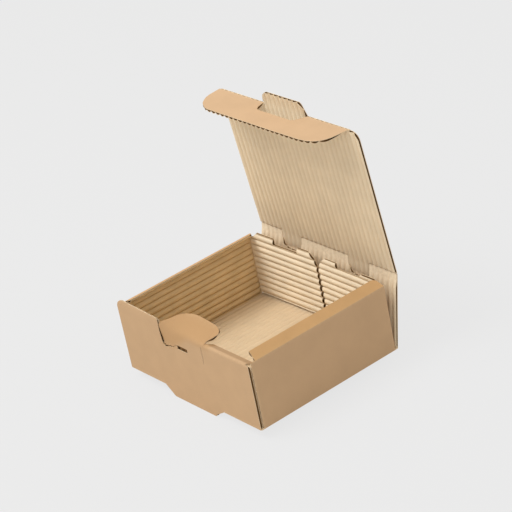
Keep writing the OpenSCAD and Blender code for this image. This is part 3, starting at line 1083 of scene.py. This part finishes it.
@dataclass
class SideWall:
    """A side wall with its leaning strip, and its flaps at both ends."""

    sizes: Sizes
    place: Place
    side: Side
    lean: float
    pitch: float
    wall_shift: float
    flap_l: float
    flap_shift: float
    flap_lift: float
    flap_turn: float
    notch: tuple[float, float]
    root_top: float

    def fold_wall(self, u: float, v: float, t: float) -> Position:
        """Stands the wall up and leans its strip inward.

        Args:
            u: Place across the flutes.
            v: Place along the flutes.
            t: Distance inward from the liner's outer face.

        Returns:
            Frame position in millimetres.
        """
        box = self.sizes
        spine = Spine(0.0, (Bend(box.wall_h, math.radians(self.lean), 1.6),))
        inward, up = spine.place(u, t)
        return self.place.at(self.side.value * (box.tray_w / 2 - inward), v, up)

    def wall(self) -> Cut:
        """The wall and its strip, with the flutes running front to back.

        Returns:
            The cut of board.
        """
        box = self.sizes
        top, rear, crease = box.wall_h + box.side_lip, box.tray_l, box.wall_h
        low = [(crease + 0.7, box.side_y), (crease + 1.1, box.side_start), (top, box.side_start)]
        high = [
            (crease + 1, rear), (crease + 1.4, rear - 0.5), (crease + 5, rear - 1.8),
            (top - 2.6, rear - 3.4), (top - 1.0, rear - 5.2), (top, rear - 7.6),
        ]
        marks = [crease, *(u for u, _ in [*low[:2], *high[1:5]])]
        rows = spread(box.side_y, rear, 7.0, [(box.side_y + 4, 4.0), (rear - 4, 4.0)])
        bands = [Band(crease, 2.0, True), Band(box.side_y, 3.0, False), Band(rear, 3.0, False)]
        board = Board(pitch=self.pitch, shift=self.wall_shift)
        # The strip above the crease takes a brighter, more orange copy of the liner, painted light.
        return Cut(
            f"side_{self.side.name.lower()}", board.columns(0.3, top, marks),
            sorted({*rows, box.side_start}), stepped(low), stepped(high), self.fold_wall, board,
            bands=bands, marks=marks, sheet=Face.WALL_FLUTES,
            lit_tone=lambda u, v: Face.LIP if u > crease + 0.7 else Face.LINER,
            press=lambda u, v, plain: 0.0 if u > crease + 2.0 else plain,
        )

    def fold_back(self, u: float, v: float, t: float) -> Position:
        """Stands the back flap across the tray's end, liner outward.

        Args:
            u: Place across the flutes.
            v: Place along the flutes.
            t: Distance inward from the liner's outer face.

        Returns:
            Frame position in millimetres.
        """
        box = self.sizes
        cosine, sine = math.cos(self.flap_turn), math.sin(self.flap_turn)
        x = box.tray_w / 2 - v * cosine - t * sine
        return self.place.at(self.side.value * x, box.tray_l + v * sine - t * cosine, u + self.flap_lift)

    def back_flap(self) -> Cut:
        """The flap folded in front of the back panel, with its vent notch.

        Returns:
            The cut of board.
        """
        box = self.sizes
        tall, low_top, root = 70.0, 64.0, 61.0
        length = self.flap_l
        end = stepped(
            [(4, length - 3), (8, length), (low_top - 6, length), (low_top + 1, length - 3.5),
             (low_top + 4, length - 7), (tall, length - 10)]
        )
        start = stepped([(4, 1.2), (root, 1.2), (root + 2.5, 3.4), (root + 5, 9.0), (tall, 12.6)])
        marks = [8.0, low_top - 6, root, root + 2.5, low_top, low_top + 1, low_top + 4, self.root_top]
        rows = spread(1.2, length, 7.0, [(4.0, 2.8)])
        rows = sorted({*rows, *self.notch})
        board = Board(shift=self.flap_shift, power=0.62)
        holes = [
            Hole(low_top, tall + 1, *self.notch), Hole(self.root_top, tall + 1, 0.0, self.notch[0]),
        ]
        return Cut(
            f"back_{self.side.name.lower()}", board.columns(4.0, tall, marks), rows, start, end,
            self.fold_back, board, holes, [Band(1.0, 3.0, False)], marks,
        )

    def fold_glue(self, u: float, v: float, t: float) -> Position:
        """Stands the glued flap behind the front wall, liner forward."""
        box = self.sizes
        return self.place.at(self.side.value * (box.tray_w / 2 - v), box.side_y + t, u)

    def glue_flap(self) -> Cut:
        """The narrow flap glued behind the front wall.

        Returns:
            The cut of board.
        """
        board, start, length = Board(), 1.2, 44.0
        top = self.sizes.wall_h - self.sizes.front_lip + 1.5
        end = [(4, length - 8), (10, length), (top - 8, length), (top, 14.0)]
        marks = [10.0, top - 8]
        return Cut(
            f"glue_{self.side.name.lower()}", board.columns(4.0, top, marks),
            spread(start, length, 7.0, [(4.0, 2.8)]), lambda u: start, stepped(end),
            self.fold_glue, board, bands=[Band(1.0, 3.0, False)], marks=marks,
        )

    def build(self, dresser: Dresser) -> list[bpy.types.Object]:
        """Makes and dresses the wall and its two flaps.

        Args:
            dresser: Makes the pieces.

        Returns:
            The three pieces.
        """
        name = self.side.name.lower()
        return [
            dresser.piece(f"tray_side_{name}", [self.wall()], "tray", "tray"),
            dresser.piece(f"tray_flap_{name}", [self.back_flap()], "tray", "tray"),
            dresser.piece(f"tray_glue_flap_{name}", [self.glue_flap()], "tray", "tray"),
        ]


@dataclass
class Upright:
    """A panel that stands across the box and leans from its foot.

    The foot is its pivot, which lies bead inward of the outer face, and its parts below the
    pivot lean hang less.
    """

    sizes: Sizes
    place: Place
    foot: tuple[float, float]
    lean: float
    bead: float = 0.0
    hang: float = 0.0

    def fold(self, u: float, v: float, t: float) -> Position:
        """Stands the panel up, liner to the back, its tabs bent in below the hinge.

        Args:
            u: Place across the flutes.
            v: Place along the flutes.
            t: Distance inward from the liner's outer face.

        Returns:
            Frame position in millimetres.
        """
        lean = self.lean - self.hang * min(max(-v / 2.5, 0.0), 1.0)
        cosine, sine = math.cos(lean), math.sin(lean)
        inward = v * sine + (t - self.bead) * cosine
        up = v * cosine - (t - self.bead) * sine
        return self.place.at(u, self.foot[0] - inward, self.foot[1] + up)


@dataclass
class BackPanel(Upright):
    """Back panel with its two vent cut-outs."""

    def cut(self) -> Cut:
        """The panel's board.

        Returns:
            The cut of board.
        """
        box = self.sizes
        half, top, board = box.panel_w / 2, box.back_l + box.hinge_lap, Board()
        line = [(-half, top)]
        low = box.back_l - box.vent_l - 0.7
        for mid in box.vent_mids:
            left, right = mid - box.vent_w / 2 - 0.6, mid + box.vent_w / 2 + 0.6
            line += [
                (left - 0.1, top), (left, low + 11), (left + 1.6, low + 8.5),
                (left + 3.4, low + 5.4), (left + 6, low + 3.4), (left + 9, low + 2.4),
                (right - 5, low + 2.2), (right - 2, low + 2.6), (right, low + 4),
                (right + 0.1, top),
            ]
        line.append((half, top))
        marks = [u for u, _ in line]
        rows = spread(0.0, top, 8.0, [(3.0, 3.0), (top - 3.4, 3.4), (top - 14, 6.0)])
        bands = [Band(0.0, 3.4, False), Band(top, 13.0, False)]
        return Cut(
            "back_panel", board.columns(-half, half, marks), rows, lambda u: 0.0, stepped(line),
            self.fold, board, bands=bands, marks=marks, sheet=Face.PANEL_FLUTES,
        )

    def build(self, dresser: Dresser) -> list[bpy.types.Object]:
        """Makes and dresses the back panel's piece."""
        return [dresser.piece("tray_back", [self.cut()], "tray", "tray")]


@dataclass
class Lid(Upright):
    """Lid panel with its vent tabs and the tab standing on its front fold."""

    def cut(self) -> Cut:
        """The lid's board.

        Returns:
            The cut of board.
        """
        box = self.sizes
        half, foot, board = box.panel_w / 2, box.fold_gap, Board(shift=0.4)
        line = [(-half, foot)]
        for mid in box.vent_mids:
            left, right = mid - box.vent_w / 2, mid + box.vent_w / 2
            line += [
                (left - 0.1, foot), (left, 4 - box.vent_l), (left + 2, 1 - box.vent_l),
                (left + 5, -box.vent_l), (right - 5, -box.vent_l), (right - 2, 1 - box.vent_l),
                (right, 4 - box.vent_l), (right + 0.1, foot),
            ]
        line.append((half, foot))
        top, free, corner = box.lid_l + box.hinge_lap, box.lid_l - 0.4, 8
        tab = box.lid_l + box.tab_h - 0.1
        head = [
            (-half, top - 1.5), (-half + 1.5, top), (-30.2, top), (-30.1, box.lid_l + 1),
            (-29.5, tab - 8), (-27.9, tab - 3.0), (-26.0, tab - 1.0), (-23.4, tab - 0.1),
            (21.8, tab), (23.6, tab - 1.1), (24.9, tab - 3.2), (26.4, tab - 7.4),
            (28.4, box.lid_l + 1), (28.5, top), (box.fold_right - 0.1, top), (box.fold_right, free),
            *arc((half - corner, free - corner), (corner, corner), 0, 90, 9),
        ]
        marks = [u for u, _ in [*line, *head]]
        close = [(1.5, 2.5), (2.0 - box.vent_l, 2.2), (box.lid_l - 4, 6.0), (tab - 3, 3.0)]
        bands = [Band(0.4, 2.6, False), Band(box.lid_l, 3.6, False)]
        return Cut(
            "lid", board.columns(-half, half, marks), spread(-box.vent_l, tab, 8.0, close),
            stepped(line), stepped(head), self.fold, board, bands=bands, marks=marks,
            sheet=Face.PANEL_FLUTES, press=self.press,
        )

    def press(self, u: float, v: float, plain: float) -> float:
        """Keeps the flutes whole in the vent tabs, their ends aside, and in the standing tab.

        Args:
            u: Place across the flutes.
            v: Place along the flutes.
            plain: Crush of the straight bands there.

        Returns:
            The crush that is left.
        """
        box = self.sizes
        sides = [(u - mid) / box.vent_w for mid in box.vent_mids if abs(u - mid) < box.vent_w / 2]
        if v < -7 and sides:
            return max(min((-10.5 - v) / 3, 1.0), min((-0.36 - sides[0]) / 0.06, 1.0), 0.0)
        if (v < 20 and sides) or (v > 100 and (abs(u) < 29 or u > box.fold_right)):
            return 0.0
        return plain

    def build(self, dresser: Dresser) -> list[bpy.types.Object]:
        """Makes and dresses the lid's piece."""
        return [dresser.piece("lid_panel", [self.cut()], "lid", "lid")]


@dataclass
class TuckFlap(Upright):
    """Tuck flap with the cut-out that the standing tab leaves."""

    def cut(self) -> Cut:
        """The flap's board.

        Returns:
            The cut of board.
        """
        box = self.sizes
        end, foot, board = box.tuck_l, box.fold_gap, Board(shift=0.4)
        left, right = -box.panel_w / 2 + 0.7, box.fold_right - 0.7
        near = [
            (left, foot), (-31.0, foot), (-30.9, 2.0), (-28.6, 9.5), (-26.0, 12.6), (-23.0, 13.8),
            (21.6, 13.8), (25.0, 11.6), (29.3, 2.0), (29.4, foot), (right, foot),
        ]
        far = [
            (left, foot + 2), (-93.2, 10.0), (-92.6, 14.7), (-90.9, 20.0), (-88.3, 24.2),
            (-84.3, 29.1), (-81.5, 31.2), (-78.1, 33.0), (-74.0, 34.8), (-69.7, 35.9),
            (-60.0, end), (-20.0, end), (30.0, end), (58.0, end - 0.3), (63.5, end - 1.2),
            (68.0, end - 2.2), (71.5, end - 3.4), (75.2, end - 5.6), (78.0, end - 8.2),
            (80.6, end - 12.7), (82.3, end - 18), (83.0, end - 24), (right, foot + 2),
        ]
        marks = [u for u, _ in [*near, *far]]
        rows = spread(foot, end, 4.0, [(foot + 3, 3.0)])
        # The whole flap takes a brighter, paler copy of the liner, painted light.
        return Cut(
            "tuck", board.columns(left, right, marks), rows, stepped(near), stepped(far),
            self.fold, board, bands=[Band(0.0, 4.0, False)], marks=marks,
            sheet=Face.PANEL_FLUTES, lit_tone=lambda u, v: Face.TUCK,
        )

    def build(self, dresser: Dresser) -> list[bpy.types.Object]:
        """Makes and dresses the tuck flap's piece."""
        return [dresser.piece("tuck_flap_panel", [self.cut()], "tuck_flap", "tuck_flap")]


@dataclass
class Floor:
    """Floor panel with the notch that the foot tab leaves."""

    sizes: Sizes
    place: Place

    def fold(self, u: float, v: float, t: float) -> Position:
        """Leaves the floor flat."""
        return self.place.at(u, v, t)

    def cut(self) -> Cut:
        """The floor's board.

        Returns:
            The cut of board.
        """
        box = self.sizes
        wide, start, rear = box.tray_w / 2 - 0.2, 0.7, box.back_y - 0.5
        near = [
            (-43.3, start), (-43.2, 0.8), (-30.7, 9.7), (30.7, 9.7), (43.2, 0.8), (43.3, start)
        ]
        marks = [u for u, _ in near]
        rows = spread(start, rear, 9.0, [(4.0, 3.0), (box.back_y - 4, 3.0)])
        bands = [
            Band(0.0, 3.0, False), Band(box.back_y, 3.4, False),
            Band(-wide, 3.4, True), Band(wide, 3.4, True),
        ]
        board = Board(depth=2.0)
        return Cut(
            "floor", board.columns(-wide, wide, marks), rows, stepped(near), lambda u: rear,
            self.fold, board, bands=bands, marks=marks, sheet=Face.FLOOR_FLUTES,
        )

    def build(self, dresser: Dresser) -> list[bpy.types.Object]:
        """Makes and dresses the floor's piece."""
        return [dresser.piece("tray_floor", [self.cut()], "tray", "tray")]


@dataclass
class Studio:
    """Pale floor, soft lights and the photograph's camera.

    The camera's angles are in degrees and its distances in millimetres. aim stands offset pixels
    right of and below the picture's middle.
    """

    place: Place
    azimuth: float = 55.84
    elevation: float = 26.99
    roll: float = -11.79
    focal_px: float = 2213.13
    distance: float = 1990.2
    offset: tuple[float, float] = (-4.54, 71.45)
    aim: Position = (0.0, 75.0, 35.0)
    picture_px: int = 512
    film: float = 36.0
    shadow: float = 0.07
    glow: Colour = (1.0, 0.985, 0.96)
    glow_strength: float = 0.64
    backdrop: Colour = linear(233, 233, 233)

    def camera(self) -> bpy.types.Object:
        """Sets up the camera.

        Returns:
            The camera object.
        """
        az, el, roll = (math.radians(a) for a in (self.azimuth, self.elevation, self.roll))
        ahead = -Vector((math.sin(az) * math.cos(el), -math.cos(az) * math.cos(el), math.sin(el)))
        right = Vector((math.cos(az), math.sin(az), 0.0))
        up = right.cross(ahead)
        cosine, sine = math.cos(roll), math.sin(roll)
        right, up = right * cosine + up * sine, up * cosine - right * sine
        across, down = (px * self.distance / self.focal_px for px in self.offset)
        centre = Vector(self.place.at(*self.aim))
        eye = centre - right * across + up * down - ahead * self.distance
        data = bpy.data.cameras.new("camera")
        data.sensor_width = self.film
        data.lens = self.focal_px / self.picture_px * self.film
        data.clip_start, data.clip_end = 0.01, 50.0
        cam = bpy.data.objects.new("camera", data)
        turn = Matrix((right, up, -ahead)).transposed().to_4x4()
        cam.matrix_world = Matrix.Translation(eye * MM) @ turn
        bpy.context.scene.collection.objects.link(cam)
        bpy.context.scene.camera = cam
        return cam

    def lamp(self, name: str, where: Position, size: float, power: float) -> None:
        """Adds one soft square lamp that looks at the box.

        Args:
            name: Name of the lamp.
            where: Its position in metres.
            size: Its side in metres.
            power: Its power in watts.
        """
        data = bpy.data.lights.new(name, "AREA")
        data.size, data.energy = size, power
        obj = bpy.data.objects.new(name, data)
        spot = Vector(where)
        obj.matrix_world = Matrix.Translation(spot) @ (
            (Vector((0, 0, 0.06)) - spot).to_track_quat("-Z", "Y").to_matrix().to_4x4()
        )
        bpy.context.scene.collection.objects.link(obj)

    @staticmethod
    def seen(tree: bpy.types.NodeTree) -> bpy.types.NodeSocket:
        """Tells rays that show the backdrop from rays that only carry light.

        Args:
            tree: Tree that takes the nodes.

        Returns:
            A socket that is 1 for a camera, glossy or transmission ray.
        """
        path = tree.nodes.new("ShaderNodeLightPath")
        value = path.outputs["Is Camera Ray"]
        for kind in ("Is Glossy Ray", "Is Transmission Ray"):
            value = maths(tree, "MAXIMUM", value, path.outputs[kind])
        return value

    def world(self) -> None:
        """Lights the box evenly and shows the backdrop's colour to the camera."""
        world = bpy.data.worlds.new("studio")
        world.use_nodes = True
        tree = world.node_tree
        shown = tree.nodes["Background"]
        shown.inputs["Color"].default_value = (*self.backdrop, 1.0)
        glow = tree.nodes.new("ShaderNodeBackground")
        glow.inputs["Color"].default_value = (*self.glow, 1.0)
        glow.inputs["Strength"].default_value = self.glow_strength
        mix = tree.nodes.new("ShaderNodeMixShader")
        tree.links.new(self.seen(tree), mix.inputs["Fac"])
        tree.links.new(glow.outputs["Background"], mix.inputs[1])
        tree.links.new(shown.outputs["Background"], mix.inputs[2])
        tree.links.new(mix.outputs["Shader"], tree.nodes["World Output"].inputs["Surface"])
        bpy.context.scene.world = world

    def floor(self) -> bpy.types.Object:
        """Lays the pale floor, which keeps a faint shadow.

        Returns:
            The floor object.
        """
        bm = bmesh.new()
        bmesh.ops.create_grid(bm, x_segments=1, y_segments=1, size=6.0)
        mesh = bpy.data.meshes.new("studio_floor")
        bm.to_mesh(mesh)
        bm.free()
        mat = bpy.data.materials.new("studio_floor")
        mat.use_nodes = True
        tree = mat.node_tree
        bsdf = tree.nodes["Principled BSDF"]
        bsdf.inputs["Base Color"].default_value = (*self.backdrop, 1.0)
        bsdf.inputs["Roughness"].default_value = 1.0
        bsdf.inputs["Specular IOR Level"].default_value = 0.0
        glow = tree.nodes.new("ShaderNodeEmission")
        glow.inputs["Color"].default_value = (*self.backdrop, 1.0)
        mix = tree.nodes.new("ShaderNodeMixShader")
        part = maths(tree, "MULTIPLY", self.seen(tree), 1.0 - self.shadow)
        tree.links.new(part, mix.inputs["Fac"])
        tree.links.new(bsdf.outputs["BSDF"], mix.inputs[1])
        tree.links.new(glow.outputs["Emission"], mix.inputs[2])
        tree.links.new(mix.outputs["Shader"], tree.nodes["Material Output"].inputs["Surface"])
        mesh.materials.append(mat)
        obj = bpy.data.objects.new("studio_floor", mesh)
        bpy.context.scene.collection.objects.link(obj)
        return obj

    def build(self) -> None:
        """Builds the camera, the lights and the floor."""
        bpy.context.scene.view_settings.view_transform = "Standard"
        self.camera()
        self.world()
        self.floor()
        self.lamp("key", (-0.5, -1.0, 2.1), size=1.2, power=38.0)
        self.lamp("fill", (1.7, -1.3, 0.9), size=1.6, power=6.5)


def main() -> None:
    """Builds the box and its studio."""
    logging.basicConfig(level=logging.INFO)
    sizes = Sizes()
    pivots = {joint["name"]: Vector(joint["pos_m"]) / MM for joint in frame["joints"]}
    hinge, front = pivots["lid_hinge"], pivots["tuck_hinge"]
    place = Place(sizes.hinge_y - hinge.y, sizes.foot_h)
    dresser = Dresser([kraft.material() for kraft in FINISHES])
    lid_foot = (hinge.y + place.shift_y, hinge.z - place.lift)
    tuck_foot = (front.y + place.shift_y, front.z - place.lift)
    parts = (
        Floor(sizes, place),
        FrontWall(sizes, place),
        SideWall(
            sizes, place, Side.LEFT, lean=66.0, pitch=6.13, wall_shift=2.65, flap_l=94.6,
            flap_shift=5.1, flap_lift=0.0, flap_turn=math.radians(1.6), notch=(36.5, 70.5),
            root_top=70.0,
        ),
        SideWall(
            sizes, place, Side.RIGHT, lean=42.0, pitch=6.3, wall_shift=0.6, flap_l=88.0,
            flap_shift=0.3, flap_lift=1.3, flap_turn=0.0, notch=(28.5, 62.5), root_top=68.6,
        ),
        BackPanel(sizes, place, (sizes.back_y, 0.0), -math.radians(sizes.back_lean)),
        Lid(
            sizes, place, lid_foot, math.radians(sizes.lid_lean), bead=sizes.bead_r,
            hang=math.radians(9.4),
        ),
        TuckFlap(sizes, place, tuck_foot, math.radians(90), bead=sizes.bead_r),
    )
    for part in parts:
        for piece in part.build(dresser):
            piece.data.calc_loop_triangles()
            LOG.info("%s: %d triangles", piece.name, len(piece.data.loop_triangles))
    Studio(place).build()


if __name__ == "__main__":
    main()
